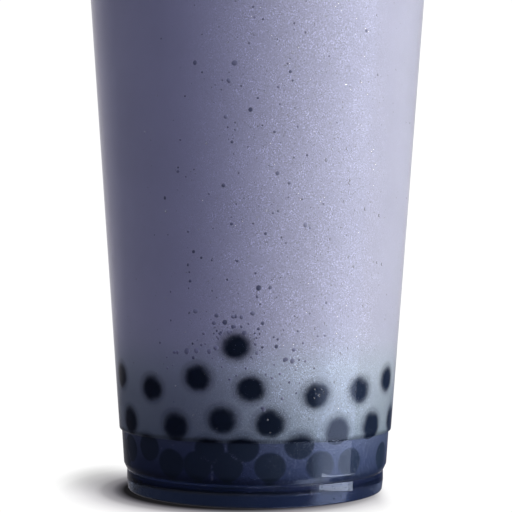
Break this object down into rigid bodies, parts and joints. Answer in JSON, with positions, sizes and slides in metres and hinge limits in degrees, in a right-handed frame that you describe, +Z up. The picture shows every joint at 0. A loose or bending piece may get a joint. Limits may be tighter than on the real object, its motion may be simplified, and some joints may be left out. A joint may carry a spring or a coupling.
{
  "type": "bubble tea",
  "caption": "Tall tapered clear plastic cup with a stepped foot and rolled rim, filled with opaque lavender milk tea over dark tapioca pearls.",
  "frame": {"origin": "centre of the cup's foot ring, on the plane that it stands on", "axes": "+Z up along the cup's axis, -Y towards the side that the picture shows, +X to that side's right"},
  "size_m": [0.0898, 0.0898, 0.17],
  "materials": {
    "clear_plastic": "clear, glossy, injection moulded",
    "milk_tea": "opaque milky liquid, lavender",
    "tapioca": "wet, smooth, almost black"
  },
  "bodies": {
    "root": {"cup": "clear_plastic", "drink": "milk_tea", "pearls": "tapioca"}
  },
  "joints": []
}
